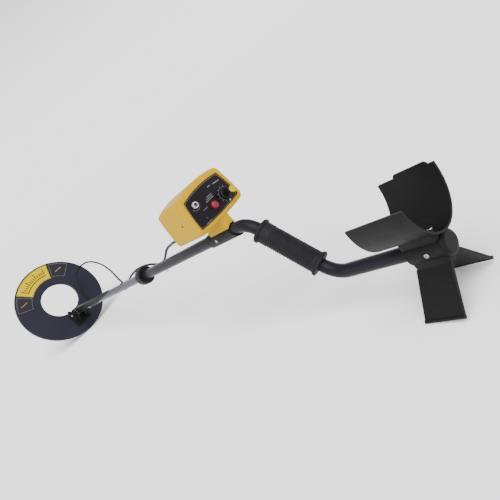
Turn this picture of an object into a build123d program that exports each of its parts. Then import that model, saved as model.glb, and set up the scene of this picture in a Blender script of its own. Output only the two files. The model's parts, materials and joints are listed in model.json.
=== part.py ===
from build123d import *
import math
import os

# Metal detector.  Everything is drawn in the shaft's own frame, in millimetres: X runs along the
# straight shaft towards the search head, Z is square to the shaft and up, and the origin is on the
# shaft's axis below the rear face of the control box.  place() then leans the finished parts forward
# so that the stand's two feet and the head's rim stand on Z = 0.

# ---- driving dimensions -------------------------------------------------------------------------
TUBE_R = 10.0
TUBE_BORE_R = 8.8
STEM_R = 8.75
STEM_BORE_R = 7.5
RUN_GAP = 0.05

MID_REAR_X = 38.0
MID_FRONT_X = 395.0
STEM_REAR_X = 276.0
STEM_FRONT_X = 800.0
PIVOT_X = 982.3

SNAP_X = 294.0
SNAP_PITCH = 35.0
SNAP_HOLES = 3
SNAP_R = 3.2
SNAP_TRAVEL = 7.4
SNAP_TIP = 15.8

COLLAR_REAR_X = 383.0
COLLAR_FRONT_X = 414.0
COLLAR_R = 19.4
COLLET_R = 11.6

SLEEVE_R = 12.2
SLEEVE_REAR_X = 2.0
SLEEVE_FRONT_X = 80.0
SLEEVE_SLANT = 9.0

BEND_X = -31.1
UPPER_BEND_R = 42.0
LOWER_BEND_R = 46.0
REAR_DROP = 125.5
REAR_RUN = -114.5
TUBE_END_X = -297.0

GRIP_START = 23.0
GRIP_LENGTH = 102.5
GRIP_R = 16.8
GRIP_FLANGE_R = 19.1

HEAD_R = 132.7
HEAD_BORE_R = 55.3
HEAD_THICK = 11.2
HEAD_COVER = 2.0
HEAD_WALL = 2.2
HEAD_TILT = 71.5
PIVOT_HEIGHT = 39.3
PIVOT_SETBACK = 76.1
TONGUE_HALF = 8.0
WASHER = 1.5
EAR = 6.0
EAR_R = 13.0
BOLT_R = 3.0

BOX_LENGTH = 83.5
BOX_WALL = 2.6
BOX_BOTTOM = 28.0
BOX_TOP = 90.0
BOX_BOTTOM_HALF = 54.0
BOX_TOP_HALF = 47.7
BOX_TOP_BOW = 7.0
BOX_BOTTOM_BOW = 2.5
BOX_SIDE_BOW = 1.5
BOX_CORNER_R = 9.0
BOX_TAPER = 1.5
BEZEL = 7.6
FOOT_HALF = 8.8
FASCIA_FRONT = 1.0
FASCIA_THICK = 2.0

KNOB_YZ = (-27.5, 50.0)
BUTTON_YZ = (0.6, 49.2)
JACK_YZ = (26.9, 69.4)
LAMP_YZ = (25.7, 43.8)
GLAND_YZ = (38.0, 40.0)
JACK_BORE_R = 3.25
BUTTON_R = 6.2
BUTTON_TRAVEL = 2.5

CUP_HALF = 45.9
CUP_TOP = 76.8
CUP_BOTTOM = 19.0
CUP_WALL = 2.6
CUP_REAR_X = -314.0
CUP_FRONT_X = -226.5
SADDLE_REAR_X = -304.0
SADDLE_FRONT_X = -249.0
SADDLE_HALF = 14.0
SADDLE_R = 16.5

STAND_REAR_X = -296.5
STAND_FRONT_X = -242.8
STAND_HALF = 51.0
STAND_DROP = 69.5
STAND_TOP = 18.0
STAND_THICK = 3.0
BEAD_R = 2.4

CABLE_R = 2.5
CLIP_REAR_X = 533.0
CLIP_FRONT_X = 543.0
CLIP_CABLE_YZ = (-12.8, 2.6)

REAR_Z = -REAR_DROP
OUT = "parts"


# ---- helpers ------------------------------------------------------------------------------------
def rod_x(radius, x0, x1, y=0.0, z=0.0):
    """A round bar along X."""
    return Pos((x0 + x1) / 2, y, z) * Rot(0, 90, 0) * Cylinder(radius, x1 - x0)


def rod_y(radius, y0, y1, x=0.0, z=0.0):
    """A round bar along Y."""
    return Pos(x, (y0 + y1) / 2, z) * Rot(90, 0, 0) * Cylinder(radius, y1 - y0)


def rod_z(radius, z0, z1, x=0.0, y=0.0):
    """A round bar along Z."""
    return Pos(x, y, (z0 + z1) / 2) * Cylinder(radius, z1 - z0)


def tube_x(outer, inner, x0, x1, y=0.0, z=0.0):
    """A plain tube along X."""
    return rod_x(outer, x0, x1, y, z) - rod_x(inner, x0 - 1, x1 + 1, y, z)


def ring_z(outer, inner, z0, z1):
    """A flat ring about Z."""
    return rod_z(outer, z0, z1) - rod_z(inner, z0 - 1, z1 + 1)


def block(x0, x1, y0, y1, z0, z1):
    """A box given by its two corners."""
    return Pos((x0 + x1) / 2, (y0 + y1) / 2, (z0 + z1) / 2) * Box(x1 - x0, y1 - y0, z1 - z0)


def turned_x(profile, z=0.0):
    """A solid turned about the X axis from (x, r) points."""
    face = make_face(Polyline(*[(x, 0, r) for x, r in profile], close=True))
    return Pos(0, 0, z) * revolve(face, Axis.X)


def hexagon(across_flats, height):
    """A hexagonal prism about Z, standing on Z = 0."""
    return extrude(RegularPolygon(across_flats / 2, 6, major_radius=False), height)


def pan_screw(head_r, head_h, shank_r, shank_l):
    """A pan-head screw with its head above Z = 0 and its shank below, and a cross recess."""
    head = rod_z(head_r, 0, head_h)
    head = fillet(head.edges().group_by(Axis.Z)[-1], head_h * 0.45)
    slot = Box(head_r * 1.1, head_r * 0.28, head_h)
    cross = Pos(0, 0, head_h) * (slot + Rot(0, 0, 90) * slot)
    return head - cross + rod_z(shank_r, -shank_l, 0.1)


def loose(solids):
    """Several separate solids kept in one node."""
    return Compound(children=[s if isinstance(s, Solid) else s.solid() for s in solids])


# ---- search head, in its own frame: Z is square to the face, X points away from the hinge --------
def head_to_shaft():
    """Where the head's frame sits in the shaft's frame."""
    tilt = math.radians(HEAD_TILT)
    forward = (math.cos(tilt), math.sin(tilt))
    normal = (-math.sin(tilt), math.cos(tilt))
    x = PIVOT_X - PIVOT_HEIGHT * normal[0] + PIVOT_SETBACK * forward[0]
    z = -PIVOT_HEIGHT * normal[1] + PIVOT_SETBACK * forward[1]
    return Pos(x, 0, z) * Rot(0, -HEAD_TILT, 0)


def head_shell():
    shell = ring_z(HEAD_R, HEAD_BORE_R, -HEAD_THICK + HEAD_COVER, 0)
    shell = fillet(shell.edges().group_by(Axis.Z)[-1], 3.0)
    shell -= ring_z(HEAD_R - HEAD_WALL, HEAD_BORE_R + HEAD_WALL, -HEAD_THICK, -HEAD_WALL)
    for x, y in bracket_holes():
        shell -= rod_z(1.25, -HEAD_WALL - 1, 1, x, y)
    return shell


def head_cover():
    cover = ring_z(HEAD_R, HEAD_BORE_R, -HEAD_THICK, -HEAD_THICK + HEAD_COVER)
    return cover


def transmit_winding():
    return ring_z(HEAD_R - 5, HEAD_R - 15, -HEAD_THICK + HEAD_COVER + 0.3, -3.2)


def receive_winding():
    return ring_z(HEAD_BORE_R + 13, HEAD_BORE_R + 5, -HEAD_THICK + HEAD_COVER + 0.3, -3.2)


def sector(r_in, r_out, a0, a1, z0, z1):
    """Part of a flat ring between two angles."""
    mid = math.radians((a0 + a1) / 2)
    spread = [(math.cos(math.radians(a)), math.sin(math.radians(a))) for a in (a0, a1)]
    outer = ThreePointArc(
        (r_out * spread[0][0], r_out * spread[0][1]),
        (r_out * math.cos(mid), r_out * math.sin(mid)),
        (r_out * spread[1][0], r_out * spread[1][1]),
    )
    inner = ThreePointArc(
        (r_in * spread[1][0], r_in * spread[1][1]),
        (r_in * math.cos(mid), r_in * math.sin(mid)),
        (r_in * spread[0][0], r_in * spread[0][1]),
    )
    sides = Line(outer @ 1, inner @ 0) + Line(inner @ 1, outer @ 0)
    return Pos(0, 0, z0) * extrude(make_face(outer + inner + sides), z1 - z0)


LABEL = 0.5


def head_label():
    return sector(78.0, 128.0, -26.5, 37.5, 0, LABEL)


def side_labels():
    right = sector(79.0, 127.0, -57.0, -28.5, 0, LABEL)
    left = sector(79.0, 127.0, 39.5, 66.0, 0, LABEL)
    return loose([right, left])


BRACKET_X0 = -107.0
BRACKET_X1 = -61.0
BRACKET_HALF = 27.0
BRACKET_BASE = 4.0


def bracket_holes():
    inset = 6.5
    xs = (BRACKET_X0 + inset, BRACKET_X1 - inset)
    ys = (-BRACKET_HALF + inset - 1, BRACKET_HALF - inset + 1)
    return [(x, y) for x in xs for y in ys]


def hinge_bracket():
    base = block(BRACKET_X0, BRACKET_X1, -BRACKET_HALF, BRACKET_HALF, 0, BRACKET_BASE)
    base = fillet(base.edges().filter_by(Axis.Z), 5.0)
    base = chamfer(base.edges().group_by(Axis.Z)[-1], 1.0)
    inner = TONGUE_HALF + WASHER
    px = -PIVOT_SETBACK
    outline = [(BRACKET_X0 + 3, 3), (BRACKET_X1 - 1, 3), (px + 12, PIVOT_HEIGHT), (px - 12, PIVOT_HEIGHT)]
    for side in (-1, 1):
        y0 = min(side * inner, side * (inner + EAR))
        web = make_face(Polyline(*[(x, 0, z) for x, z in outline], close=True))
        web = Pos(0, y0 + EAR, 0) * extrude(web, EAR, dir=(0, -1, 0))
        base += web + rod_y(EAR_R, y0, y0 + EAR, px, PIVOT_HEIGHT)
    base -= rod_y(BOLT_R + RUN_GAP, -40, 40, px, PIVOT_HEIGHT)
    for x, y in bracket_holes():
        base -= rod_z(1.6, -1, BRACKET_BASE + 1, x, y)
    return base


def bracket_screws():
    shape = pan_screw(3.0, 2.0, 1.25, BRACKET_BASE + HEAD_WALL)
    return loose([Pos(x, y, BRACKET_BASE) * shape for x, y in bracket_holes()])


def friction_washers():
    made = []
    for side in (-1, 1):
        y0, y1 = sorted((side * TONGUE_HALF, side * (TONGUE_HALF + WASHER)))
        disc = rod_y(11.0, y0 + RUN_GAP, y1, -PIVOT_SETBACK, PIVOT_HEIGHT)
        if side > 0:
            disc = rod_y(11.0, y0 + RUN_GAP, y1, -PIVOT_SETBACK, PIVOT_HEIGHT)
        else:
            disc = rod_y(11.0, y0, y1 - RUN_GAP, -PIVOT_SETBACK, PIVOT_HEIGHT)
        made.append(disc - rod_y(BOLT_R + RUN_GAP, -40, 40, -PIVOT_SETBACK, PIVOT_HEIGHT))
    return loose(made)


def pivot_bolt():
    outside = TONGUE_HALF + WASHER + EAR
    head = Pos(-PIVOT_SETBACK, -outside, PIVOT_HEIGHT) * Rot(90, 0, 0) * hexagon(10.0, 4.0)
    shank = rod_y(BOLT_R, -outside - 0.5, outside + 13.0, -PIVOT_SETBACK, PIVOT_HEIGHT)
    return head + shank


def wing_nut():
    y0 = TONGUE_HALF + WASHER + EAR + 0.3
    nut = rod_y(6.6, y0, y0 + 9.0, -PIVOT_SETBACK, PIVOT_HEIGHT)
    outline = [(-6, 2), (-17, 7), (-18, 13), (-14, 14.5), (-5, 7.5), (5, 7.5), (14, 14.5), (18, 13), (17, 7), (6, 2)]
    wing = make_face(Polyline(*[(x, y0 + h, 0) for x, h in outline], close=True))
    wing = Pos(0, 0, -1.6) * extrude(wing, 3.2, dir=(0, 0, 1))
    wing = fillet(wing.edges().filter_by(Axis.Z), 0.6)
    nut += Pos(-PIVOT_SETBACK, 0, PIVOT_HEIGHT) * Rot(0, -25, 0) * wing
    return nut - rod_y(BOLT_R + RUN_GAP, -60, 60, -PIVOT_SETBACK, PIVOT_HEIGHT)


GLAND_HEAD = (-80.0, -57.0)
GLAND_HEAD_AXIS_Z = 6.0
GLAND_HEAD_LENGTH = 16.0


def head_gland():
    x, y = GLAND_HEAD
    boss = rod_x(5.0, x - 9, x, y, GLAND_HEAD_AXIS_Z) + block(x - 9, x, y - 5, y + 5, 0, GLAND_HEAD_AXIS_Z)
    boss = fillet(boss.edges().group_by(Axis.X)[0], 2.0)
    relief = Pos(x, y, GLAND_HEAD_AXIS_Z) * Rot(0, 90, 0) * Pos(0, 0, GLAND_HEAD_LENGTH / 2)
    return boss + relief * Cone(3.8, CABLE_R + 0.5, GLAND_HEAD_LENGTH)


# ---- lower stem ---------------------------------------------------------------------------------
def lower_stem():
    stem = tube_x(STEM_R, STEM_BORE_R, STEM_REAR_X, STEM_FRONT_X)
    return stem - rod_z(SNAP_R + 0.15, -12, 0, SNAP_X, 0)


TIP_R = 10.3
TIP_TOP_X = 636.0
TIP_BOTTOM_X = 790.0
TIP_SHOULDER_X = 868.0
TONGUE_R = 12.0


def stem_tip():
    barrel = turned_x([(TIP_TOP_X, 0), (TIP_TOP_X, TIP_R), (TIP_SHOULDER_X, TIP_R), (TIP_SHOULDER_X + 14, 7.5),
                       (TIP_SHOULDER_X + 14, 0)])
    wedge = [(TIP_TOP_X - 1, 11), (TIP_TOP_X - 1, -11), (TIP_BOTTOM_X, -11), (TIP_TOP_X, 11)]
    wedge = make_face(Polyline(*[(x, 0, z) for x, z in wedge], close=True))
    barrel -= extrude(wedge, 30, both=True)
    barrel -= rod_x(STEM_R + 0.001, TIP_TOP_X - 5, STEM_FRONT_X)
    barrel += rod_x(STEM_BORE_R - 0.02, STEM_FRONT_X - 40, STEM_FRONT_X + 1)
    flat = block(TIP_SHOULDER_X - 6, PIVOT_X, -TONGUE_HALF, TONGUE_HALF, -TONGUE_R + 2.6, TONGUE_R - 2.6)
    tongue = flat + rod_y(TONGUE_R, -TONGUE_HALF, TONGUE_HALF, PIVOT_X, 0)
    tip = barrel + tongue
    return tip - rod_y(BOLT_R + RUN_GAP, -20, 20, PIVOT_X, 0) - tip_screw_at() * (rod_z(1.3, -4, 1) + rod_z(3.3, 0, 3))


def tip_screw_at():
    return Pos(842, 0, 0) * Rot(-126, 0, 0) * Pos(0, 0, TIP_R - 0.6)


def tip_screw():
    return tip_screw_at() * pan_screw(3.2, 1.8, 1.3, 3.6)


def snap_spring():
    leaf = 0.7
    half = 3.0
    low = block(SNAP_X - 8, SNAP_X + 34, -half, half, -5.6, -5.6 + leaf)
    high = block(SNAP_X - 8, SNAP_X + 34, -half, half, 5.6 - leaf, 5.6)
    bow = rod_y(5.6, -half, half, SNAP_X + 34, 0) - rod_y(5.6 - leaf, -half, half, SNAP_X + 34, 0)
    bow -= block(SNAP_X + 20, SNAP_X + 34, -half - 1, half + 1, -7, 7)
    return low + high + bow


def snap_button():
    dome = rod_z(SNAP_R, -SNAP_TIP, -5.6, SNAP_X, 0)
    return fillet(dome.edges().group_by(Axis.Z)[0], 2.4)


def cable_clip():
    y, z = CLIP_CABLE_YZ
    clip = tube_x(STEM_R + 1.3, STEM_R, CLIP_REAR_X, CLIP_FRONT_X)
    clip -= block(CLIP_REAR_X - 1, CLIP_FRONT_X + 1, 3.0, 20, -20, 20)
    clip += rod_x(CABLE_R + 1.2, CLIP_REAR_X, CLIP_FRONT_X, y, z) - rod_x(STEM_R, 500, 560)
    return clip


# ---- middle tube, twist lock and coupling -------------------------------------------------------
def mid_tube():
    tube = tube_x(TUBE_R, TUBE_BORE_R, MID_REAR_X, MID_FRONT_X)
    for i in range(SNAP_HOLES):
        tube -= rod_z(SNAP_R + 0.4, -12, 0, SNAP_X - i * SNAP_PITCH, 0)
    return tube - sleeve_screw_at(*SLEEVE_SCREWS[0]) * rod_z(1.6, -9, 2)


def lock_collet():
    ring = tube_x(COLLET_R, TUBE_BORE_R, MID_FRONT_X, COLLAR_FRONT_X - 6)
    for angle in range(0, 360, 60):
        slit = block(MID_FRONT_X + 3, COLLAR_FRONT_X, -0.5, 0.5, 5, 15)
        ring -= Rot(angle, 0, 0) * slit
    return ring


def lock_collar():
    x0, x1 = COLLAR_REAR_X, COLLAR_FRONT_X
    body = turned_x([(x0, 0), (x0, COLLAR_R - 2), (x0 + 3, COLLAR_R), (x1 - 9, COLLAR_R), (x1, 12.5), (x1, 0)])
    body -= rod_x(TUBE_R + RUN_GAP, x0 - 1, x1 - 7)
    body -= rod_x(COLLET_R + 0.3, MID_FRONT_X - 0.3, x1 - 5.7)
    body -= rod_x(STEM_R + 0.35, x0, x1 + 1)
    for angle in range(0, 360, 20):
        body -= Rot(angle, 0, 0) * rod_x(1.6, x0 - 1, x1 + 1, 0, COLLAR_R + 0.7)
    return body


def slanted_end(x_top, x_bottom, radius):
    """The wedge behind a slanted plane: it meets the top at x_top and the bottom at x_bottom."""
    far = min(x_top, x_bottom) - 40
    points = [(far, radius), (x_top, radius), (x_bottom, -radius), (far, -radius)]
    return extrude(make_face(Polyline(*[(x, 0, z) for x, z in points], close=True)), radius * 2, both=True)


def coupling_sleeve():
    x0 = SLEEVE_REAR_X - SLEEVE_SLANT
    sleeve = tube_x(SLEEVE_R, TUBE_R, x0, SLEEVE_FRONT_X)
    sleeve -= slanted_end(SLEEVE_REAR_X + SLEEVE_SLANT, x0, SLEEVE_R + 2)
    for x, turn in SLEEVE_SCREWS:
        sleeve -= sleeve_screw_at(x, turn) * (rod_z(1.6, -9, 2) + rod_z(2.9, 0, 5))
    return sleeve


SLEEVE_SCREWS = ((50.0, -90), (24.0, 90))


def sleeve_screw_at(x, turn):
    """A frame on the sleeve's surface whose Z points straight out of it."""
    return Pos(x, 0, 0) * Rot(turn, 0, 0) * Pos(0, 0, SLEEVE_R - 0.5)


def sleeve_screws():
    shape = pan_screw(2.8, 1.7, 1.6, SLEEVE_R - TUBE_BORE_R + 1.0)
    return loose([sleeve_screw_at(x, turn) * shape for x, turn in SLEEVE_SCREWS])


# ---- S-bent tube and hand grip ------------------------------------------------------------------
def grip_line():
    """Start of the slanted part, its unit direction and its length."""
    dx = REAR_RUN - BEND_X
    dz = REAR_Z
    length = math.hypot(dx, dz)
    return dx / length, dz / length, length


def s_path():
    start = (MID_REAR_X, 0, 0)
    end = (TUBE_END_X, 0, REAR_Z)
    return FilletPolyline(start, (BEND_X, 0, 0), (REAR_RUN, 0, REAR_Z), end, radius=[UPPER_BEND_R, LOWER_BEND_R])


def s_tube():
    path = s_path()
    at_start = Plane(origin=(MID_REAR_X, 0, 0), x_dir=(0, 1, 0), z_dir=(-1, 0, 0))
    tube = sweep(at_start * Circle(TUBE_R), path) - sweep(at_start * Circle(TUBE_BORE_R), path)
    tube -= sleeve_screw_at(*SLEEVE_SCREWS[1]) * rod_z(1.6, -9, 2)
    return tube - rod_y(1.6, 0, 12, SADDLE_SCREW_X, REAR_Z)


def along_grip(distance):
    """A frame whose X runs down the slanted part of the tube, at a distance from the upper bend's corner."""
    ux, uz, _ = grip_line()
    return Plane(origin=(BEND_X + ux * distance, 0, uz * distance), x_dir=(ux, 0, uz), z_dir=(-uz, 0, ux))


def grip():
    flange = 5.0
    points = [(0, TUBE_R), (0, GRIP_FLANGE_R - 1), (1, GRIP_FLANGE_R), (flange - 1, GRIP_FLANGE_R),
              (flange, GRIP_FLANGE_R - 1), (flange + 0.5, GRIP_R)]
    ribs = 22
    start = flange + 14.0
    pitch = (GRIP_LENGTH - start - flange - 4) / ribs
    for i in range(ribs):
        x = start + i * pitch
        points += [(x, GRIP_R), (x + pitch * 0.3, GRIP_R - 0.8), (x + pitch * 0.7, GRIP_R - 0.8)]
    end = GRIP_LENGTH
    points += [(end - flange - 0.5, GRIP_R), (end - flange, GRIP_FLANGE_R - 1), (end - flange + 1, GRIP_FLANGE_R),
               (end - 1, GRIP_FLANGE_R), (end, GRIP_FLANGE_R - 1), (end, TUBE_R)]
    return along_grip(GRIP_START).location * turned_x(points)


def tube_plug():
    cap = rod_x(TUBE_R, TUBE_END_X - 3, TUBE_END_X, 0, REAR_Z)
    cap = fillet(cap.edges().group_by(Axis.X)[0], 1.5)
    return cap + rod_x(TUBE_BORE_R, TUBE_END_X - 0.5, TUBE_END_X + 12, 0, REAR_Z)


# ---- arm cup, its saddle and the stand ----------------------------------------------------------
def cup_section(inset):
    """The cup's U in the YZ plane, closed across the top."""
    half = CUP_HALF - inset
    depth = CUP_TOP - CUP_BOTTOM - inset
    oval = Ellipse(half, depth) & Pos(0, -100) * Rectangle(200, 200)
    return Plane(origin=(0, 0, REAR_Z + CUP_TOP), x_dir=(0, 1, 0), z_dir=(1, 0, 0)) * oval


def arm_cup():
    length = CUP_FRONT_X - CUP_REAR_X
    outer = Pos(CUP_REAR_X, 0, 0) * extrude(cup_section(0), length)
    inner = Pos(CUP_REAR_X - 1, 0, 0) * extrude(cup_section(CUP_WALL), length + 2)
    cup = outer - inner
    tab_x0 = STAND_REAR_X - 9
    tab_x1 = STAND_REAR_X + 40
    tab = block(tab_x0, tab_x1, -CUP_HALF, -CUP_HALF + CUP_WALL, REAR_Z + CUP_TOP - 3, REAR_Z + CUP_TOP + 4.5)
    tab = chamfer(tab.edges().filter_by(Axis.Y).group_by(Axis.Z)[-1], 3.0)
    tab -= inner
    lean = [(CUP_FRONT_X - 4.5, CUP_TOP + 1), (CUP_FRONT_X + 5, CUP_TOP + 1), (CUP_FRONT_X + 5, CUP_BOTTOM - 1)]
    lean = make_face(Polyline(*[(x, 0, REAR_Z + z) for x, z in lean + [(CUP_FRONT_X, CUP_BOTTOM - 1)]], close=True))
    cup = cup - extrude(lean, 60, both=True) + tab
    for x in CUP_SCREWS:
        cup -= rod_z(2.1, REAR_Z, REAR_Z + 40, x, 0)
    return cup


CUP_SCREWS = (-291.0, -262.0)
SADDLE_SCREW_X = -277.5
SADDLE_SEAT = 15.6


def cup_screws():
    shape = pan_screw(3.6, 2.2, 2.0, 8.0)
    seat = REAR_Z + CUP_BOTTOM + CUP_WALL + 0.25
    return loose([Pos(x, 0, seat) * shape for x in CUP_SCREWS])


def cup_saddle():
    x0, x1 = SADDLE_REAR_X, SADDLE_FRONT_X
    barrel = rod_x(SADDLE_R, x0, x1, 0, REAR_Z)
    barrel = fillet(barrel.edges().group_by(Axis.X)[0], 6.0)
    neck = block(x0 + 4, x1 + 4, -12, 12, REAR_Z + 5, REAR_Z + 26)
    neck = fillet(neck.edges().filter_by(Axis.Z), 5.0)
    pad = block(x0 + 7, x1, -SADDLE_HALF, SADDLE_HALF, REAR_Z - STAND_TOP, REAR_Z)
    pad = fillet(pad.edges().filter_by(Axis.Z), 3.0)
    saddle = barrel + neck + pad
    outer = Pos(CUP_REAR_X, 0, 0) * extrude(cup_section(0), CUP_FRONT_X - CUP_REAR_X)
    saddle = saddle - outer - rod_x(TUBE_R, TUBE_END_X - 3, 0, 0, REAR_Z)
    for x in CUP_SCREWS:
        saddle -= rod_z(2.0, REAR_Z + 12.6, REAR_Z + 40, x, 0)
    for x in STAND_SCREWS:
        saddle -= rod_z(1.6, REAR_Z - 30, REAR_Z - 12.5, x, 0)
    saddle -= rod_y(3.4, SADDLE_SEAT, 30, SADDLE_SCREW_X, REAR_Z)
    return saddle - rod_y(1.6, 0, 30, SADDLE_SCREW_X, REAR_Z)


def saddle_screw():
    shape = pan_screw(3.2, 2.0, 1.6, SADDLE_SEAT - TUBE_BORE_R + 2.0)
    return Pos(SADDLE_SCREW_X, SADDLE_SEAT, REAR_Z) * Rot(-90, 0, 0) * shape


STAND_SCREWS = (-285.0, -257.0)


def stand():
    top = REAR_Z - STAND_TOP
    foot = REAR_Z - STAND_DROP + BEAD_R
    knee = SADDLE_HALF
    reach = STAND_HALF - BEAD_R
    t = STAND_THICK
    points = [(-knee, top), (knee, top), (reach + t * 0.45, foot), (reach - t * 0.45, foot - 1),
              (knee - t * 0.9, top - t), (-knee + t * 0.9, top - t), (-reach + t * 0.45, foot - 1), (-reach - t * 0.45, foot)]
    face = make_face(Polyline(*[(STAND_REAR_X, y, z) for y, z in points], close=True))
    plate = extrude(face, STAND_FRONT_X - STAND_REAR_X, dir=(1, 0, 0))
    narrow = [(STAND_FRONT_X - 5.8, top + 1), (STAND_FRONT_X + 1, top + 1), (STAND_FRONT_X + 1, foot), (STAND_FRONT_X, foot)]
    narrow = make_face(Polyline(*[(x, 0, z) for x, z in narrow], close=True))
    plate -= extrude(narrow, 80, both=True)
    for side in (-1, 1):
        plate += rod_x(BEAD_R, STAND_REAR_X, STAND_FRONT_X, side * reach, foot)
    for x in STAND_SCREWS:
        plate -= rod_z(1.9, top - 20, top + 5, x, 0)
    return plate


def stand_screws():
    shape = pan_screw(3.4, 2.0, 1.6, STAND_THICK + 3.4)
    seat = REAR_Z - STAND_TOP - STAND_THICK
    return loose([Pos(x, 0, seat) * Rot(180, 0, 0) * shape for x in STAND_SCREWS])


# ---- control box --------------------------------------------------------------------------------
def box_outline(inset=0.0):
    """The rear outline of the box, moved in by inset: a bowed top and bottom with sloping sides."""
    low = BOX_BOTTOM + inset
    high = BOX_TOP - inset
    low_half = BOX_BOTTOM_HALF - inset
    high_half = BOX_TOP_HALF - inset
    side_y = (low_half + high_half) / 2 + BOX_SIDE_BOW
    side_z = (low + high) / 2
    edges = ThreePointArc((low_half, low), (0, low - BOX_BOTTOM_BOW), (-low_half, low))
    edges += ThreePointArc((-low_half, low), (-side_y, side_z), (-high_half, high))
    edges += ThreePointArc((-high_half, high), (0, high + BOX_TOP_BOW - 0.33 * inset), (high_half, high))
    edges += ThreePointArc((high_half, high), (side_y, side_z), (low_half, low))
    face = make_face(edges)
    return fillet(face.vertices(), max(BOX_CORNER_R - inset, 2.2))


def box_face(inset, x):
    """The outline moved in by inset, standing at x."""
    return Plane(origin=(x, 0, 0), x_dir=(0, 1, 0), z_dir=(1, 0, 0)) * box_outline(inset)


def box_solid():
    body = extrude(box_face(0, 0), BOX_LENGTH, taper=BOX_TAPER)
    front = body.edges().group_by(Axis.X)[-1]
    body = fillet(front, 6.0)
    rear = body.edges().group_by(Axis.X)[0]
    return fillet(rear, 5.0)


DOOR_Y0 = -30.0
DOOR_Y1 = 24.0
DOOR_Z0 = 42.0
DOOR_Z1 = 80.0
DOOR_TRAVEL = 40.0
DOOR_GAP = 0.35
LEDGE = 2.0
TAPER_ROOM = 2.2


def box_housing():
    shell = box_solid()
    shell -= extrude(box_face(BOX_WALL + TAPER_ROOM, 6.0), BOX_LENGTH - 6.0 - BOX_WALL)
    shell -= extrude(box_face(BEZEL + LEDGE, -1), 9)
    shell -= extrude(box_face(BEZEL, -1), 1 + FASCIA_FRONT + FASCIA_THICK)
    shell -= block(BOX_LENGTH - 8, BOX_LENGTH + 2, DOOR_Y0 + 3, DOOR_Y1 - 3, DOOR_Z0 + 3, DOOR_Z1 - 3)
    x0 = BOX_LENGTH - 0.5
    lip0 = BOX_LENGTH + 2 * DOOR_GAP + 2.0
    for z_out, z_edge, z_lip in ((DOOR_Z0 - 3, DOOR_Z0 - DOOR_GAP, DOOR_Z0 + 1.6), (DOOR_Z1 + 3, DOOR_Z1 + DOOR_GAP, DOOR_Z1 - 1.6)):
        wall = sorted((z_out, z_edge))
        lip = sorted((z_out, z_lip))
        shell += block(x0, lip0 + 0.2, DOOR_Y0, DOOR_Y1 + 3, wall[0], wall[1])
        shell += block(lip0, lip0 + 1.6, DOOR_Y0, DOOR_Y1 + 3, lip[0], lip[1])
    shell += block(x0, lip0 + 1.6, DOOR_Y1 + DOOR_GAP, DOOR_Y1 + 3, DOOR_Z0 - 3, DOOR_Z1 + 3)
    shell -= block(25.5, 30.5, 38, 60, 55.5, 58.7)
    for x in FOOT_SCREWS:
        shell -= rod_z(1.6, 20, 40, x, 0)
    for i in range(5):
        z = 50.0 + 5.0 * i
        shell -= block(30, 54, -62, -40, z, z + 2.0)
    return shell - rod_x(2.5, 60, 100, GLAND_YZ[0], GLAND_YZ[1])


def battery_door():
    x0 = BOX_LENGTH + DOOR_GAP
    door = block(x0, x0 + 2.0, DOOR_Y0, DOOR_Y1, DOOR_Z0, DOOR_Z1)
    for i in range(5):
        y = DOOR_Y0 + 6 + 3.0 * i
        door += block(x0 + 1.5, x0 + 3.0, y, y + 1.4, DOOR_Z0 + 10, DOOR_Z1 - 10)
    return door


def box_foot():
    foot = block(2, 62, -FOOT_HALF, FOOT_HALF, 3, BOX_BOTTOM + 6)
    foot = fillet(foot.edges().filter_by(Axis.Z), 2.5)
    foot -= rod_x(SLEEVE_R, 0, 100)
    foot -= box_solid()
    keep = block(0, 90, -30, 30, 7.5, BOX_BOTTOM + 1)
    foot = foot & keep
    for x in FOOT_SCREWS:
        foot -= rod_z(1.6, 10, 40, x, 0)
    return foot.solids().sort_by(SortBy.VOLUME)[-1]


FOOT_SCREWS = (22.0, 50.0)


def foot_screws():
    low = BOX_BOTTOM - BOX_BOTTOM_BOW + BOX_WALL + TAPER_ROOM + 0.02
    return loose([rod_z(1.6, SLEEVE_R + 0.3, low, x, 0) + rod_z(3.2, low, low + 2.0, x, 0) for x in FOOT_SCREWS])


def fascia():
    x0 = FASCIA_FRONT
    plate = extrude(box_face(BEZEL + 0.1, x0), FASCIA_THICK)
    plate -= rod_x(3.7, -5, 10, *KNOB_YZ)
    plate -= rod_x(BUTTON_R + RUN_GAP, -5, 10, *BUTTON_YZ)
    plate -= rod_x(3.9, -5, 10, *JACK_YZ)
    return plate - rod_x(2.5, -5, 10, *LAMP_YZ)


def knob():
    back = FASCIA_FRONT - 0.4
    profile = [(back, 0), (back, 9.5), (-3.5, 9.2), (-4.5, 7.4), (-21.0, 6.6), (-22.0, 6.0), (-22.0, 0)]
    body = turned_x(profile)
    for angle in range(0, 360, 30):
        body -= Rot(angle, 0, 0) * rod_x(0.9, -23, -5, 0, 7.7)
    body = Pos(0, KNOB_YZ[0], KNOB_YZ[1]) * body
    body -= rod_x(6.4, -2.8, back + 1, *KNOB_YZ)
    return body - rod_x(3.0, -18, 5, *KNOB_YZ)


def knob_cap():
    cap = rod_x(5.3, -24.0, -22.0, *KNOB_YZ)
    return fillet(cap.edges().group_by(Axis.X)[0], 0.8)


def pot_shaft():
    return rod_x(3.0, -18, 13, *KNOB_YZ)


POT_REAR = FASCIA_FRONT + FASCIA_THICK


def potentiometer():
    body = rod_x(8.2, POT_REAR, POT_REAR + 11, *KNOB_YZ) + rod_x(3.7, -1.6, POT_REAR + 1, *KNOB_YZ)
    body -= rod_x(3.0 + RUN_GAP, -5, 13.3, *KNOB_YZ)
    for i in (-1, 0, 1):
        y = KNOB_YZ[0] + 4.0 * i
        body += block(POT_REAR + 6, POT_REAR + 7, y - 0.8, y + 0.8, KNOB_YZ[1] - 13, KNOB_YZ[1] - 7)
    return body


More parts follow.
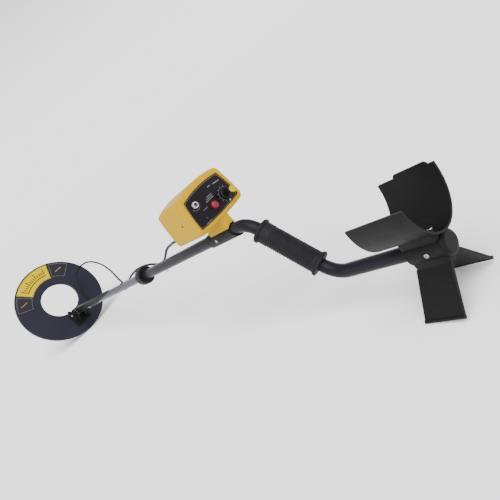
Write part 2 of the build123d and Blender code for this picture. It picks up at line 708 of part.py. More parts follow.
def pot_nut():
    nut = Plane(origin=(-1.5, KNOB_YZ[0], KNOB_YZ[1]), x_dir=(0, 1, 0), z_dir=(1, 0, 0)).location * hexagon(10.0, 2.5)
    return nut - rod_x(3.7, -5, 5, *KNOB_YZ)


def red_button():
    dome = rod_x(BUTTON_R, -5.0, POT_REAR + 0.3, *BUTTON_YZ)
    dome = fillet(dome.edges().group_by(Axis.X)[0], 4.2)
    dome += rod_x(BUTTON_R + 1.0, POT_REAR + 0.3, POT_REAR + 1.8, *BUTTON_YZ)
    return dome + rod_x(2.2, POT_REAR, 10.5, *BUTTON_YZ)


SWITCH_X = 9.5


def button_switch():
    y, z = BUTTON_YZ
    body = block(SWITCH_X, SWITCH_X + 8, y - 6.5, y + 6.5, z - 6.5, z + 6.5)
    body -= rod_x(2.2 + RUN_GAP, SWITCH_X - 1, SWITCH_X + 5, y, z)
    for side in (-1, 1):
        body += block(SWITCH_X + 8, 20.0, y + 4 * side - 0.5, y + 4 * side + 0.5, z - 1, z + 1)
    return body


def button_spring():
    turns = 4
    height = SWITCH_X - POT_REAR - 1.8
    path = Helix(pitch=(height - 0.8) / turns, height=height - 0.8, radius=3.6)
    section = Plane(origin=path @ 0, z_dir=path % 0) * Circle(0.35)
    wire = sweep(section, path=path, is_frenet=True)
    return Pos(POT_REAR + 1.8 + 0.4, BUTTON_YZ[0], BUTTON_YZ[1]) * Rot(0, 90, 0) * wire


def jack_socket():
    y, z = JACK_YZ
    body = rod_x(3.9, -2.6, POT_REAR + 1, y, z) + block(POT_REAR, 19.0, y - 6.5, y + 6.5, z - 6.5, z + 6.5)
    for i in (-1, 1):
        body += block(POT_REAR + 8, 20.0, y + 6.4, y + 7.6, z + 3 * i - 0.8, z + 3 * i + 0.8)
    return body - rod_x(JACK_BORE_R, -5, 16, y, z)


def jack_nut():
    y, z = JACK_YZ
    washer = rod_x(5.0, FASCIA_FRONT - 0.8, FASCIA_FRONT, y, z)
    nut = Plane(origin=(-2.4, y, z), x_dir=(0, 1, 0), z_dir=(1, 0, 0)).location * hexagon(8.9, 2.6)
    return washer + nut - rod_x(3.9, -5, 5, y, z)


def indicator_lamp():
    lamp = rod_x(2.5, -0.6, 6.0, *LAMP_YZ)
    lamp = fillet(lamp.edges().group_by(Axis.X)[0], 1.4)
    return lamp + rod_x(3.0, POT_REAR, 4.2, *LAMP_YZ)


BOARD_X = 20.0


def circuit_board():
    board = block(BOARD_X, BOARD_X + 1.6, -36, 37, 38, 82)
    board = fillet(board.edges().filter_by(Axis.X), 2.0)
    for y, z in ((-32, 42), (33, 42), (-32, 78), (33, 78)):
        board -= rod_x(1.5, BOARD_X - 1, BOARD_X + 3, y, z)
    return board


def board_parts():
    x = BOARD_X + 1.6
    made = [block(x, x + 4, y, y + 10, z, z + 6.5) for y, z in ((-24, 60), (-4, 60), (14, 60), (-14, 46))]
    made += [rod_x(3.0, x, x + 9, y, 72) for y in (-22, -8, 20)]
    made += [block(x, x + 5, y, y + 6.5, 44, 50.5) for y in (4, 16)]
    return loose(made)


def speaker():
    frame = rod_y(17.5, -41.4, -39.4, 42.0, 60.0)
    basket = Pos(42.0, -36.95, 60.0) * Rot(-90, 0, 0) * Cone(17.0, 11.0, 5.0)
    magnet = rod_y(11.0, -34.5, -29.5, 42.0, 60.0)
    return frame + basket + magnet


BATTERY_Y = -25.0


def batteries():
    made = []
    for i in range(2):
        x = 42.0 + 18.0 * i
        cell = block(x, x + 17.5, BATTERY_Y, BATTERY_Y + 46.5, 47.0, 73.5)
        cell = fillet(cell.edges().filter_by(Axis.Y), 2.0)
        for z, r in ((54.0, 2.8), (66.5, 3.8)):
            cell += rod_y(r, BATTERY_Y + 46.4, BATTERY_Y + 48.5, x + 8.75, z)
        made.append(cell)
    return loose(made)


def battery_clips():
    made = []
    for i in range(2):
        x = 42.0 + 18.0 * i
        y = BATTERY_Y + 48.5
        made.append(fillet(block(x, x + 17.5, y, y + 4.0, 47.0, 73.5).edges().filter_by(Axis.Y), 3.0))
    return loose(made)


BOX_GLAND_X = BOX_LENGTH + 15.0


def box_gland():
    y, z = GLAND_YZ
    flange = rod_x(4.6, BOX_LENGTH, BOX_LENGTH + 3, y, z) + rod_x(2.5, BOX_LENGTH - 4, BOX_LENGTH + 1, y, z)
    relief = Pos(BOX_LENGTH + 3, y, z) * Rot(0, 90, 0) * Pos(0, 0, 6) * Cone(3.6, CABLE_R + 0.4, 12)
    return flange + relief


# ---- cable --------------------------------------------------------------------------------------
UPPER_ROUTE = [
    (BOX_GLAND_X, GLAND_YZ[0], GLAND_YZ[1]),
    (117, 38, 40),
    (134, 30, 38),
    (156, 17, 35),
    (182, 8.5, 32),
    (209, 3, 29.5),
    (232, -1.5, 25.5),
    (254, -6.5, 19.5),
    (276, -11.5, 13),
    (298, -16, 6.5),
    (320, -18.5, 2.5),
    (342, -19, 2),
    (362, -21.5, 4.5),
    (385, -24.5, 8.5),
    (412, -24, 12.5),
    (436, -20, 15.5),
    (457, -16.5, 15),
    (480, -14.5, 12.2),
    (503, -13.2, 8),
    (519, CLIP_CABLE_YZ[0], CLIP_CABLE_YZ[1]),
    (CLIP_REAR_X, CLIP_CABLE_YZ[0], CLIP_CABLE_YZ[1]),
]

LOWER_ROUTE_SHAFT = [
    (CLIP_FRONT_X, CLIP_CABLE_YZ[0], CLIP_CABLE_YZ[1]),
    (560, CLIP_CABLE_YZ[0], CLIP_CABLE_YZ[1]),
    (592, -23, 11),
    (636, -39, 21),
    (684, -57, 29),
    (736, -75, 37),
    (790, -92, 49),
    (844, -107, 60),
    (898, -118.5, 72),
    (944, -124, 83),
    (980, -121.5, 91),
    (1006, -108, 93),
    (1020, -90, 84),
    (1025.5, -76, 65),
    (1025, -66.5, 42),
]


def turn_radii(points):
    """The largest arc that each corner of a route has room for."""
    radii = []
    for a, b, c in zip(points, points[1:], points[2:]):
        before = Vector(*b) - Vector(*a)
        after = Vector(*c) - Vector(*b)
        turn = math.radians(before.get_angle(after))
        radii.append(0.45 * min(before.length, after.length) / math.tan(turn / 2))
    return radii


def cable(name, points):
    """A round cable along straight runs joined by arcs."""
    radii = turn_radii(points)
    path = FilletPolyline(*points, radius=radii)
    start = Plane(origin=path @ 0, z_dir=path % 0)
    tube = sweep(start * Circle(CABLE_R), path)
    ratio = tube.volume / (math.pi * CABLE_R**2 * path.length)
    print(name, "length", round(path.length, 1), "volume ratio", round(ratio, 4))
    print(name, "radii", [round(r, 1) for r in radii])
    return tube


def head_gland_mouth():
    """The head gland's small end and a point straight out from it, in the shaft's frame."""
    x, y = GLAND_HEAD
    near = head_to_shaft() * Pos(x + GLAND_HEAD_LENGTH, y, GLAND_HEAD_AXIS_Z)
    far = head_to_shaft() * Pos(x + GLAND_HEAD_LENGTH + 18, y, GLAND_HEAD_AXIS_Z)
    return tuple(far.position), tuple(near.position)


def upper_cable():
    return cable("upper_cable", UPPER_ROUTE)


def lower_cable():
    far, near = head_gland_mouth()
    return cable("lower_cable", LOWER_ROUTE_SHAFT + [far, near])


# ---- assembly -----------------------------------------------------------------------------------
HEAD_PARTS = [
    head_shell, head_cover, transmit_winding, receive_winding, head_label, side_labels, hinge_bracket,
    bracket_screws, friction_washers, pivot_bolt, wing_nut, head_gland,
]

SHAFT_PARTS = [
    lower_stem, stem_tip, tip_screw, snap_spring, snap_button, cable_clip,
    mid_tube, lock_collet, lock_collar, coupling_sleeve, sleeve_screws,
    s_tube, grip, tube_plug, arm_cup, cup_screws, cup_saddle, saddle_screw, stand, stand_screws,
    box_housing, battery_door, box_foot, foot_screws, fascia, knob, knob_cap, pot_shaft, potentiometer,
    pot_nut, red_button, button_switch, button_spring, jack_socket, jack_nut, indicator_lamp,
    circuit_board, board_parts, speaker, batteries, battery_clips, box_gland,
]

CABLE_PARTS = [upper_cable, lower_cable]


def lean_angle():
    """How far the shaft leans forward so that the feet's front corners and the head's rim are level."""
    rim = head_to_shaft() * Pos(-HEAD_R, 0, -HEAD_THICK)
    foot = Vector(STAND_FRONT_X, 0, REAR_Z - STAND_DROP)
    across = rim.position - foot
    return math.degrees(math.atan2(across.Z, across.X))


def build():
    """Every part in the standing frame, by name, and the placement that was used."""
    shapes = {f.__name__: head_to_shaft() * f() for f in HEAD_PARTS}
    shapes.update({f.__name__: f() for f in SHAFT_PARTS})
    lean = Rot(0, lean_angle(), 0)
    boxes = [(lean * shape).bounding_box() for shape in shapes.values()]
    middle = (min(b.min.X for b in boxes) + max(b.max.X for b in boxes)) / 2
    low = min(b.min.Z for b in boxes)
    place = Pos(-middle, 0, -low) * lean
    shapes.update({f.__name__: f() for f in CABLE_PARTS})
    return {name: place * shape for name, shape in shapes.items()}, place


def main():
    os.makedirs(OUT, exist_ok=True)
    shapes, _ = build()
    for name, shape in shapes.items():
        export_step(shape, os.path.join(OUT, name + ".step"))


if __name__ == "__main__":
    main()
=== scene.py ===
import json
import math

import bmesh
import bpy
from mathutils import Matrix, Vector


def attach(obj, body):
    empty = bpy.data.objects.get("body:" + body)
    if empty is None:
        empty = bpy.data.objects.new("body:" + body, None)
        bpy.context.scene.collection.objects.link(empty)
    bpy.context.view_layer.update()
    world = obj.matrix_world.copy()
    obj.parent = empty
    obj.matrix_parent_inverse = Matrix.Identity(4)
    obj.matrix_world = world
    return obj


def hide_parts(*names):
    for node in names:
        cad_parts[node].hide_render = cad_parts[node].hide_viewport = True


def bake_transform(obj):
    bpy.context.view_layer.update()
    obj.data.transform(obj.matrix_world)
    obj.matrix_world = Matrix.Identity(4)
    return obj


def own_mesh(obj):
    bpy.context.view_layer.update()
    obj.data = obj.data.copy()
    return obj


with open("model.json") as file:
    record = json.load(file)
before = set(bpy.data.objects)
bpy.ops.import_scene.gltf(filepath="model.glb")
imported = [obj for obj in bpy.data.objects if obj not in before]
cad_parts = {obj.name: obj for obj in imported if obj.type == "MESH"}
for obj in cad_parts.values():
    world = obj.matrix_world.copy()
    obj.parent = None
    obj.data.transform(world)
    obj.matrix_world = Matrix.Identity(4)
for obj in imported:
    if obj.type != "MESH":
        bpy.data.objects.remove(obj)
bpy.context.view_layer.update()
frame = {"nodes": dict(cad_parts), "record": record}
NODES = frame["nodes"]

# ---- the shaft's frame --------------------------------------------------------------------------
# Pieces are drawn in millimetres in the shaft's own frame, as the CAD is: X runs down the straight
# shaft to the search head and Z is square to it.  TO_ROW takes them to the standing frame, in metres.
LEAN = math.radians(5.701458160175912)
SHAFT_ORIGIN = (-0.393036, 0.0, 0.169914)
TO_ROW = Matrix.Translation(SHAFT_ORIGIN) @ Matrix.Rotation(LEAN, 4, "Y") @ Matrix.Scale(0.001, 4)
HEAD_TILT = math.radians(71.5)


def row(x, y, z):
    return TO_ROW @ Vector((x, y, z))


def head_matrix():
    forward = Vector((math.cos(HEAD_TILT), 0.0, math.sin(HEAD_TILT)))
    normal = Vector((-math.sin(HEAD_TILT), 0.0, math.cos(HEAD_TILT)))
    centre = Vector((982.3, 0.0, 0.0)) - 39.3 * normal + 76.1 * forward
    turn = Matrix((forward, (0.0, 1.0, 0.0), normal)).transposed().to_4x4()
    return Matrix.Translation(centre) @ turn


HEAD = head_matrix()


def head(u, v, h):
    return TO_ROW @ HEAD @ Vector((u, v, h))


# ---- camera -------------------------------------------------------------------------------------
cam_data = bpy.data.cameras.new("camera")
cam_data.sensor_width = 36.0
cam_data.lens = 36.91
cam_data.clip_start = 0.05
cam_data.clip_end = 200.0
cam = bpy.data.objects.new("camera", cam_data)
bpy.context.scene.collection.objects.link(cam)
right = Vector((-0.522108, -0.547187, -0.654209))
up = Vector((-0.222824, -0.652903, 0.723925))
back = Vector((-0.823258, 0.523740, 0.218959))
aim = Matrix((right, up, back)).transposed().to_4x4()
cam.matrix_world = Matrix.Translation(row(-647.58, 420.08, 133.91)) @ Matrix.Rotation(LEAN, 4, "Y") @ aim
bpy.context.scene.camera = cam


# ---- cables -------------------------------------------------------------------------------------
def smooth_line(points):
    """Points along the smooth line that a cable's route controls."""
    data = bpy.data.curves.new("route", "CURVE")
    data.dimensions = "3D"
    data.resolution_u = 14
    spline = data.splines.new("NURBS")
    spline.points.add(len(points) - 1)
    for knot, point in zip(spline.points, points):
        knot.co = (*point, 1.0)
    spline.order_u = 3
    spline.use_endpoint_u = True
    route = bpy.data.objects.new("route", data)
    bpy.context.scene.collection.objects.link(route)
    bpy.context.view_layer.update()
    mesh = bpy.data.meshes.new_from_object(route)
    line = [v.co.copy() for v in mesh.vertices]
    bpy.data.objects.remove(route)
    bpy.data.meshes.remove(mesh)
    return line


def tube_mesh(name, line, radius, sides=20):
    """A round tube with closed ends along a line of points."""
    bm = bmesh.new()
    rings = []
    normal = None
    for i, point in enumerate(line):
        along = (line[min(i + 1, len(line) - 1)] - line[max(i - 1, 0)]).normalized()
        if normal is None:
            normal = along.orthogonal().normalized()
        else:
            normal = (normal - along * normal.dot(along)).normalized()
        side = along.cross(normal)
        ring = []
        for k in range(sides):
            angle = 2 * math.pi * k / sides
            ring.append(bm.verts.new(point + radius * (math.cos(angle) * normal + math.sin(angle) * side)))
        rings.append(ring)
    for a, b in zip(rings, rings[1:]):
        for k in range(sides):
            bm.faces.new((a[k], a[(k + 1) % sides], b[(k + 1) % sides], b[k]))
    bm.faces.new(list(reversed(rings[0])))
    bm.faces.new(rings[-1])
    return finish_mesh(name, bm)


def finish_mesh(name, bm, smooth=True):
    bmesh.ops.recalc_face_normals(bm, faces=bm.faces)
    mesh = bpy.data.meshes.new(name)
    bm.to_mesh(mesh)
    bm.free()
    obj = bpy.data.objects.new(name, mesh)
    bpy.context.scene.collection.objects.link(obj)
    if smooth:
        mesh.shade_smooth()
    return obj


CABLE_R = 2.5
CLIP_YZ = (-12.8, 2.6)
UPPER_ROUTE = [
    (98.5, 38, 40), (117, 38, 40), (134, 30, 38), (156, 17, 35), (182, 8.5, 32), (209, 3, 29.5),
    (232, -1.5, 25.5),
    (254, -6.5, 19.5), (276, -11.5, 13), (298, -16, 6.5), (320, -18.5, 2.5), (342, -19, 2), (362, -21.5, 4.5),
    (385, -24.5, 8.5), (412, -24, 12.5), (436, -20, 15.5), (457, -16.5, 15), (480, -14.5, 12.2),
    (503, -13.2, 8),
    (519, *CLIP_YZ), (533, *CLIP_YZ),
]
LOWER_ROUTE = [
    (543, *CLIP_YZ), (560, *CLIP_YZ), (592, -23, 11), (636, -39, 21), (684, -57, 29), (736, -75, 37),
    (790, -92, 49),
    (844, -107, 60), (898, -118.5, 72), (944, -124, 83), (980, -121.5, 91), (1006, -108, 93), (1020, -90, 84),
    (1025.5, -76, 65), (1025, -66.5, 42),
]


upper_line = smooth_line([row(*p) for p in UPPER_ROUTE])
lower_line = smooth_line([row(*p) for p in LOWER_ROUTE] + [head(-46, -57, 6), head(-64, -57, 6)])
upper = tube_mesh("cable_upper", upper_line, CABLE_R / 1000)
lower = tube_mesh("cable_lower", lower_line, CABLE_R / 1000)
for obj, line, node in ((upper, upper_line, "upper_cable"), (lower, lower_line, "lower_cable")):
    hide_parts(node)
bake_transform(upper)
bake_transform(lower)


# ---- springs ------------------------------------------------------------------------------------
def ribbon(name, line, half_width, thick):
    """A flat spring strip: line runs in the shaft's X and Z, and the strip's width lies along Y."""
    bm = bmesh.new()
    rings = []
    for i, (x, z) in enumerate(line):
        ahead, behind = line[min(i + 1, len(line) - 1)], line[max(i - 1, 0)]
        dx, dz = ahead[0] - behind[0], ahead[1] - behind[1]
        size = math.hypot(dx, dz)
        nx, nz = -dz / size * thick / 2, dx / size * thick / 2
        corners = ((x + nx, -half_width, z + nz), (x + nx, half_width, z + nz), (x - nx, half_width, z - nz),
                   (x - nx, -half_width, z - nz))
        rings.append([bm.verts.new(row(*c)) for c in corners])
    for a, b in zip(rings, rings[1:]):
        for k in range(4):
            bm.faces.new((a[k], a[(k + 1) % 4], b[(k + 1) % 4], b[k]))
    bm.faces.new(list(reversed(rings[0])))
    bm.faces.new(rings[-1])
    return finish_mesh(name, bm, smooth=False)


SNAP_X = 294.0
bow = [(SNAP_X + 34 + 5.25 * math.sin(math.radians(a)),
        5.25 * math.cos(math.radians(a))) for a in range(0, 181, 10)]
leaf_upper = ribbon("snap_leaf_upper", [(SNAP_X - 8 + 3 * i, 5.25) for i in range(14)] + bow, 3.0, 0.7)
leaf_lower = ribbon("snap_leaf_lower", [(SNAP_X + 34 - 1.5 * i, -5.25) for i in range(29)], 3.0, 0.7)
for leaf in (leaf_upper, leaf_lower):
    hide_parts("snap_spring")
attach(leaf_upper, "stem")
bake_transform(leaf_lower)

BUTTON_SEAT = (0.6, 49.2)
COIL_STEPS = 96
COIL_RADIUS = 3.6
turns = [math.radians(15 * i) for i in range(COIL_STEPS + 1)]
coil = [row(5.2 + 3.9 * i / COIL_STEPS, BUTTON_SEAT[0] + COIL_RADIUS * math.cos(a),
            BUTTON_SEAT[1] + COIL_RADIUS * math.sin(a)) for i, a in enumerate(turns)]
return_spring = tube_mesh("button_return_spring", coil, 0.00035, sides=10)
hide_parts("button_spring")
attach(return_spring, "frame")
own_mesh(return_spring)


# ---- materials ----------------------------------------------------------------------------------
RELIEF_DEPTH = 0.0002


def material(name, color, rough, **k):
    """A moulded, painted or metal surface with color as its middle tone.  Broad handling marks, thin
    scratches and dust on the upward faces shift the color and the roughness; fine grain and the
    scratches shape the relief."""
    mat = bpy.data.materials.new(name)
    mat.use_nodes = True
    nodes = mat.node_tree.nodes
    links = mat.node_tree.links
    shader = nodes["Principled BSDF"]
    shader.inputs["Metallic"].default_value = k.get("metal", 0.0)
    shader.inputs["Specular IOR Level"].default_value = k.get("spec", 0.5)
    where = nodes.new("ShaderNodeTexCoord")

    def noise(scale, detail, harsh=0.55, stretch=(1.0, 1.0, 1.0)):
        place = nodes.new("ShaderNodeMapping")
        place.inputs["Scale"].default_value = stretch
        links.new(where.outputs["Object"], place.inputs["Vector"])
        node = nodes.new("ShaderNodeTexNoise")
        node.inputs["Scale"].default_value = scale
        node.inputs["Detail"].default_value = detail
        node.inputs["Roughness"].default_value = harsh
        links.new(place.outputs["Vector"], node.inputs["Vector"])
        return node.outputs["Fac"]

    def span(source, low, high, out_low, out_high):
        node = nodes.new("ShaderNodeMapRange")
        node.inputs["From Min"].default_value = low
        node.inputs["From Max"].default_value = high
        node.inputs["To Min"].default_value = out_low
        node.inputs["To Max"].default_value = out_high
        links.new(source, node.inputs["Value"])
        return node.outputs["Result"]

    def maths(operation, a, b):
        node = nodes.new("ShaderNodeMath")
        node.operation = operation
        for socket, value in zip(node.inputs, (a, b)):
            if isinstance(value, float):
                socket.default_value = value
            else:
                links.new(value, socket)
        return node.outputs["Value"]

    def mix(factor, a, b):
        node = nodes.new("ShaderNodeMix")
        node.data_type = "RGBA"
        links.new(factor, node.inputs["Factor"])
        for socket, value in (("A", a), ("B", b)):
            target = [s for s in node.inputs if s.name == socket and s.type == "RGBA"][0]
            if isinstance(value, tuple):
                target.default_value = (*value, 1.0)
            else:
                links.new(value, target)
        return [s for s in node.outputs if s.type == "RGBA"][0]

    vary = k.get("vary", 0.10)
    dark = tuple(c * (1 - vary) for c in color)
    light = tuple(min(1.0, c * (1 + vary)) for c in color)
    handled = noise(k.get("broad", 9.0), 5.0)
    tone = mix(span(handled, 0.35, 0.65, 0.0, 1.0), dark, light)
    along = noise(55.0, 3.0, 0.5, (0.35, 6.0, 6.0))
    across = noise(70.0, 2.0, 0.5, (6.0, 5.0, 0.5))
    scratches = maths("MAXIMUM", span(along, 0.66, 0.72, 0.0, 1.0), span(across, 0.68, 0.74, 0.0, 0.7))
    patches = span(noise(20.0, 3.0), 0.48, 0.62, 0.0, 1.0)
    worn = maths("MULTIPLY", maths("MULTIPLY", scratches, patches), k.get("wear", 0.35))
    tone = mix(worn, tone, k.get("bare", tuple(min(1.0, c * 2.2 + 0.03) for c in color)))
    facing = nodes.new("ShaderNodeNewGeometry")
    split = nodes.new("ShaderNodeSeparateXYZ")
    links.new(facing.outputs["Normal"], split.inputs["Vector"])
    upward = span(split.outputs["Z"], 0.3, 1.0, 0.0, k.get("dust", 0.10))
    dust = maths("MULTIPLY", upward, span(noise(240.0, 6.0, 0.65), 0.40, 0.70, 0.0, 1.0))
    tone = mix(dust, tone, (0.16, 0.15, 0.135))
    links.new(tone, shader.inputs["Base Color"])
    swing = k.get("swing", 0.07)
    scuffs = span(noise(34.0, 7.0, 0.7), 0.3, 0.7, max(0.03, rough - swing), min(1.0, rough + swing))
    links.new(maths("ADD", scuffs, maths("MULTIPLY", worn, 0.25)), shader.inputs["Roughness"])
    grain = noise(k.get("grain", 1100.0), 3.0)
    deep = maths("SUBTRACT", grain, maths("MULTIPLY", worn, 0.6))
    relief = nodes.new("ShaderNodeBump")
    relief.inputs["Strength"].default_value = k.get("bump", 0.15)
    relief.inputs["Distance"].default_value = RELIEF_DEPTH
    links.new(deep, relief.inputs["Height"])
    links.new(relief.outputs["Normal"], shader.inputs["Normal"])
    return mat


MATS = {
    "tube_charcoal": material("tube_charcoal", (0.011, 0.010, 0.015), 0.30, spec=0.07, bump=0.03,
                              grain=500.0, wear=0.15, dust=0.03,
                              bare=(0.12, 0.12, 0.13)),
    "stem_bluegrey": material("stem_bluegrey", (0.042, 0.046, 0.066), 0.30, metal=0.25, spec=0.12,
                              bump=0.03, grain=500.0,
                              wear=0.30, bare=(0.30, 0.31, 0.33), dust=0.04),
    "black_plastic": material("black_plastic", (0.0045, 0.0045, 0.0048), 0.50, vary=0.18, bump=0.16,
                              grain=700.0, spec=0.13,
                              wear=0.12, dust=0.02),
    "head_navy": material("head_navy", (0.012, 0.012, 0.021), 0.50, vary=0.07, bump=0.16, grain=700.0,
                          spec=0.11, dust=0.015),
    "yellow_plastic": material("yellow_plastic", (0.43, 0.252, 0.0), 0.40, vary=0.04, bump=0.08,
                               grain=700.0, spec=0.06,
                               wear=0.15, bare=(0.52, 0.36, 0.05), dust=0.01),
    "rubber_black": material("rubber_black", (0.0065, 0.006, 0.0085), 0.66, vary=0.18, bump=0.30,
                             grain=700.0, spec=0.18, dust=0.03),
    "cable_black": material("cable_black", (0.004, 0.004, 0.005), 0.42, vary=0.2, bump=0.10, grain=700.0,
                            spec=0.16, dust=0.02),
    "label_yellow": material("label_yellow", (0.45, 0.330, 0.0), 0.38, vary=0.04, bump=0.05, spec=0.05,
                             wear=0.1, dust=0.01),
    "label_panel": material("label_panel", (0.013, 0.010, 0.015), 0.42, vary=0.12, bump=0.08, spec=0.16,
                            dust=0.02),
    "label_black": material("label_black", (0.005, 0.003, 0.006), 0.34, vary=0.2, bump=0.05, spec=0.12,
                            wear=0.2, dust=0.01),
    "ink_dark": material("ink_dark", (0.016, 0.005, 0.003), 0.45, vary=0.15, bump=0.08, spec=0.15, dust=0.02),
    "ink_light": material("ink_light", (0.12, 0.12, 0.125), 0.45, vary=0.12, bump=0.08, spec=0.15, dust=0.02),
    "ink_white": material("ink_white", (0.36, 0.36, 0.35), 0.45, vary=0.06, bump=0.08, spec=0.2, dust=0.02),
    "ink_gold": material("ink_gold", (0.16, 0.12, 0.05), 0.40, vary=0.12, bump=0.08, spec=0.2, dust=0.02),
    "steel": material("steel", (0.36, 0.36, 0.38), 0.30, metal=1.0, bump=0.12, grain=600.0),
    "chrome": material("chrome", (0.58, 0.58, 0.60), 0.14, metal=1.0, vary=0.05, bump=0.04),
    "red_plastic": material("red_plastic", (0.17, 0.004, 0.022), 0.26, vary=0.08, bump=0.05, spec=0.3,
                            dust=0.02),
    "lamp": material("lamp", (0.010, 0.002, 0.006), 0.14, vary=0.1, bump=0.02, spec=0.3, dust=0.01),
    "copper": material("copper", (0.45, 0.20, 0.08), 0.30, metal=0.8, vary=0.15),
    "board": material("board", (0.01, 0.07, 0.03), 0.4, vary=0.15),
    "parts_black": material("parts_black", (0.0045, 0.0045, 0.005), 0.38, vary=0.2, bump=0.12, spec=0.2,
                            dust=0.02),
    "battery": material("battery", (0.06, 0.06, 0.07), 0.35, vary=0.15),
    "speaker": material("speaker", (0.05, 0.05, 0.055), 0.5, vary=0.15),
    "washer_white": material("washer_white", (0.30, 0.30, 0.28), 0.45, vary=0.08),
}
SLOT_OF = {s["node"]: s["material_slot"] for s in frame["record"]["subparts"]}
SHOWN_AS = {"side_labels": "label_panel", "knob_cap": "label_yellow"}

for node, obj in NODES.items():
    obj.data.materials.clear()
    obj.data.materials.append(MATS[SHOWN_AS.get(node, SLOT_OF[node])])
for obj in (upper, lower):
    obj.data.materials.append(MATS["cable_black"])
for obj in (leaf_upper, leaf_lower, return_spring):
    obj.data.materials.append(MATS["steel"])

# Moulded and pressed parts get a small round on their sharp edges.
ROUNDED = {
    "arm_cup": 0.7, "stand": 0.5, "cup_saddle": 0.6, "hinge_bracket": 0.4, "lock_collar": 0.4,
    "coupling_sleeve": 0.4,
    "box_foot": 0.5, "cable_clip": 0.3, "battery_door": 0.3, "stem_tip": 0.4, "mid_tube": 0.25,
    "lower_stem": 0.25,
    "bracket_screws": 0.15, "wing_nut": 0.25,
}
for node, width in ROUNDED.items():
    bevel = NODES[node].modifiers.new("round", "BEVEL")
    bevel.width = width / 1000
    bevel.segments = 2
    bevel.limit_method = "ANGLE"
    bevel.angle_limit = math.radians(50)
    bevel.use_clamp_overlap = True


# ---- printed marks ------------------------------------------------------------------------------
def prints(name, outlines, place, thick, ink, body):
    """Thin printed patches: each flat outline becomes a closed plate of the ink's thickness."""
    bm = bmesh.new()
    for outline in outlines:
        low = [bm.verts.new(place(a, b, 0.0)) for a, b in outline]
        high = [bm.verts.new(place(a, b, thick)) for a, b in outline]
        bm.faces.new(list(reversed(low)))
        bm.faces.new(high)
        for k in range(len(outline)):
            n = (k + 1) % len(outline)
            bm.faces.new((low[k], low[n], high[n], high[k]))
    obj = finish_mesh(name, bm, smooth=False)
    obj.data.materials.append(MATS[ink])
    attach(obj, body)
    return obj


def fan(r0, r1, a0, a1, steps=24):
    """The outline of part of a flat ring between two angles in degrees."""
    angles = [math.radians(a0 + (a1 - a0) * i / steps) for i in range(steps + 1)]
    outer = [(r1 * math.cos(a), r1 * math.sin(a)) for a in angles]
    inner = [(r0 * math.cos(a), r0 * math.sin(a)) for a in reversed(angles)]
    return outer + inner


def bar(a, b, c, d, width):
    """A straight printed line from (a, b) to (c, d)."""
    length = math.hypot(c - a, d - b)
    px, py = -(d - b) / length * width / 2, (c - a) / length * width / 2
    return [(a + px, b + py), (a - px, b - py), (c - px, d - py), (c + px, d + py)]


def spoke(angle, r0, r1, width):
    c, s = math.cos(math.radians(angle)), math.sin(math.radians(angle))
    return bar(r0 * c, r0 * s, r1 * c, r1 * s, width)


def frame_of(r0, r1, a0, a1, width):
    """The outline of a ring sector drawn with four lines."""
    return [fan(r1 - width, r1, a0, a1), fan(r0, r0 + width, a0, a1),
            spoke(a0, r0 + width, r1 - width, width),
            spoke(a1, r0 + width, r1 - width, width)]


def on_head(u, v, h):
    return head(u, v, 0.5 + h)


def round_dot(a, b, radius, sides=28):
    return [(a + radius * math.cos(2 * math.pi * k / sides),
             b + radius * math.sin(2 * math.pi * k / sides)) for k in range(sides)]


# The yellow label: a dark frame, graduations along its middle and one arc inside them.
label_lines = frame_of(78.6, 127.4, -26.0, 37.0, 1.1)
label_lines += [spoke(a, 99.0, 109.0 if i % 4 else 118.0, 2.6) for i, a in enumerate(range(-18, 31, 4))]
label_lines += [fan(92.6, 95.4, -19.5, 31.5)]
prints("label_print", label_lines, on_head, 0.12, "ink_dark", "head")
panel_lines = frame_of(80.6, 125.4, -55.9, -29.6, 0.9) + frame_of(80.6, 125.4, 40.6, 64.9, 0.9)
prints("panel_outlines", panel_lines, on_head, 0.12, "ink_light", "head")
panel_bars = []
for middle, lean in ((-42.8, 90.0), (52.8, 90.0)):
    cx, cy = 104.0 * math.cos(math.radians(middle)), 104.0 * math.sin(math.radians(middle))
    dx, dy = math.cos(math.radians(lean)), math.sin(math.radians(lean))
    panel_bars.append(bar(cx - 12 * dx, cy - 12 * dy, cx + 12 * dx, cy + 12 * dy, 3.0))
prints("panel_bars", panel_bars, on_head, 0.14, "ink_gold", "head")

# The fascia: a thin border, graduations around the knob, an index dot and plain lines by the other
# controls.
FASCIA_X = 1.0
KNOB = (-27.5, 50.0)
JACK = (26.9, 69.4)


def on_fascia(a, b, h):
    return row(FASCIA_X - h, a, b)


def fascia_outline(inset, steps=18):
    """The box's bowed outline moved in by inset, with small rounded corners."""
    low, high = 28.0 + inset, 90.0 - inset
    low_half, high_half = 54.0 - inset, 47.7 - inset
    side_y, side_z = (low_half + high_half) / 2 + 1.5, (low + high) / 2
    corners = [(low_half, low), (-low_half, low), (-high_half, high), (high_half, high)]
    mids = [(0.0, low - 2.5), (-side_y, side_z), (0.0, high + 7.0 - 0.33 * inset), (side_y, side_z)]

    def side(p, m, q):
        c = (2 * m[0] - (p[0] + q[0]) / 2, 2 * m[1] - (p[1] + q[1]) / 2)
        made = []
        for i in range(steps + 1):
            t = 0.04 + 0.92 * i / steps
            made.append(((1 - t) ** 2 * p[0] + 2 * t * (1 - t) * c[0] + t * t * q[0],
                         (1 - t) ** 2 * p[1] + 2 * t * (1 - t) * c[1] + t * t * q[1]))
        return made

    points = []
    for i in range(4):
        points += side(corners[i], mids[i], corners[(i + 1) % 4])
    return points


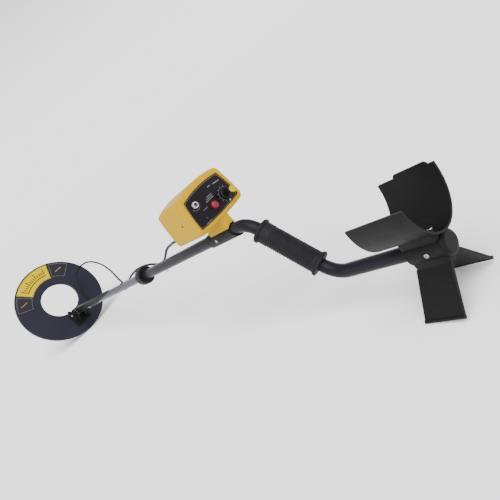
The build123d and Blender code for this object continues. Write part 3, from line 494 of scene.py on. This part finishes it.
rim_out = fascia_outline(9.0)
rim_in = fascia_outline(9.5)
rim = [[rim_out[i], rim_out[(i + 1) % len(rim_out)], rim_in[(i + 1) % len(rim_in)],
        rim_in[i]] for i in range(len(rim_out))]
marks = [[(KNOB[0] + a, KNOB[1] + b) for a, b in spoke(angle, 11.2, 13.4, 0.7)] for angle in range(-60,
                                                                                                   241, 30)]
marks += [[(KNOB[0] + a, KNOB[1] + b) for a, b in fan(10.4, 10.9, -60, 240)]]
marks += [bar(-36, 71.5, -22, 73.5, 1.5), bar(-17, 75.0, -11, 75.6, 1.5)]
marks += [bar(-9, 60 + 2.6 * i, 9 - 3.0 * i, 60 + 2.6 * i, 1.0) for i in range(3)]
marks += [[(JACK[0] + a, JACK[1] + b) for a, b in fan(8.2, 8.7, 200, 340)]]
marks += [bar(20, 36.8, 33, 36.8, 0.8), bar(12, 54.5, 22, 54.5, 0.8)]
prints("fascia_border", rim, on_fascia, 0.10, "ink_gold", "frame")
prints("fascia_marks", marks, on_fascia, 0.10, "ink_light", "frame")
prints("index_dot", [round_dot(-27.6, 37.4, 1.5)], on_fascia, 0.12, "ink_white", "frame")


# ---- stage and light ----------------------------------------------------------------------------
def floor_piece():
    bm = bmesh.new()
    bmesh.ops.create_circle(bm, cap_ends=True, segments=96, radius=40.0)
    floor = finish_mesh("floor", bm)
    mat = bpy.data.materials.new("floor_pale")
    mat.use_nodes = True
    shader = mat.node_tree.nodes["Principled BSDF"]
    shader.inputs["Base Color"].default_value = (0.985, 0.985, 0.985, 1.0)
    shader.inputs["Roughness"].default_value = 0.9
    shader.inputs["Specular IOR Level"].default_value = 0.0
    floor.data.materials.append(mat)
    return floor


floor_piece()
# The studio: a broad overhead light, a bright sweep all around near the floor's own brightness, and a
# dimmer ceiling.
FLOOR_GLOW = 2.2
CEILING_GLOW = 0.42
world = bpy.data.worlds.new("studio")
world.use_nodes = True
sky_nodes = world.node_tree.nodes
sky_links = world.node_tree.links
direction = sky_nodes.new("ShaderNodeTexCoord")
parts_of = sky_nodes.new("ShaderNodeSeparateXYZ")
fade = sky_nodes.new("ShaderNodeMapRange")
fade.interpolation_type = "SMOOTHSTEP"
fade.inputs["From Min"].default_value = 0.10
fade.inputs["From Max"].default_value = 0.55
fade.inputs["To Min"].default_value = FLOOR_GLOW
fade.inputs["To Max"].default_value = CEILING_GLOW
sky_links.new(direction.outputs["Generated"], parts_of.inputs["Vector"])
sky_links.new(parts_of.outputs["Z"], fade.inputs["Value"])
sky_links.new(fade.outputs["Result"], sky_nodes["Background"].inputs["Strength"])
sky_nodes["Background"].inputs["Color"].default_value = (1.0, 1.0, 1.0, 1.0)
bpy.context.scene.world = world

sun_data = bpy.data.lights.new("overhead", "SUN")
sun_data.energy = 5.84
sun_data.angle = math.radians(70)
sun = bpy.data.objects.new("overhead", sun_data)
bpy.context.scene.collection.objects.link(sun)
sun.rotation_euler = Vector((0.9, -0.9, -2.0)).to_track_quat("-Z", "Y").to_euler()
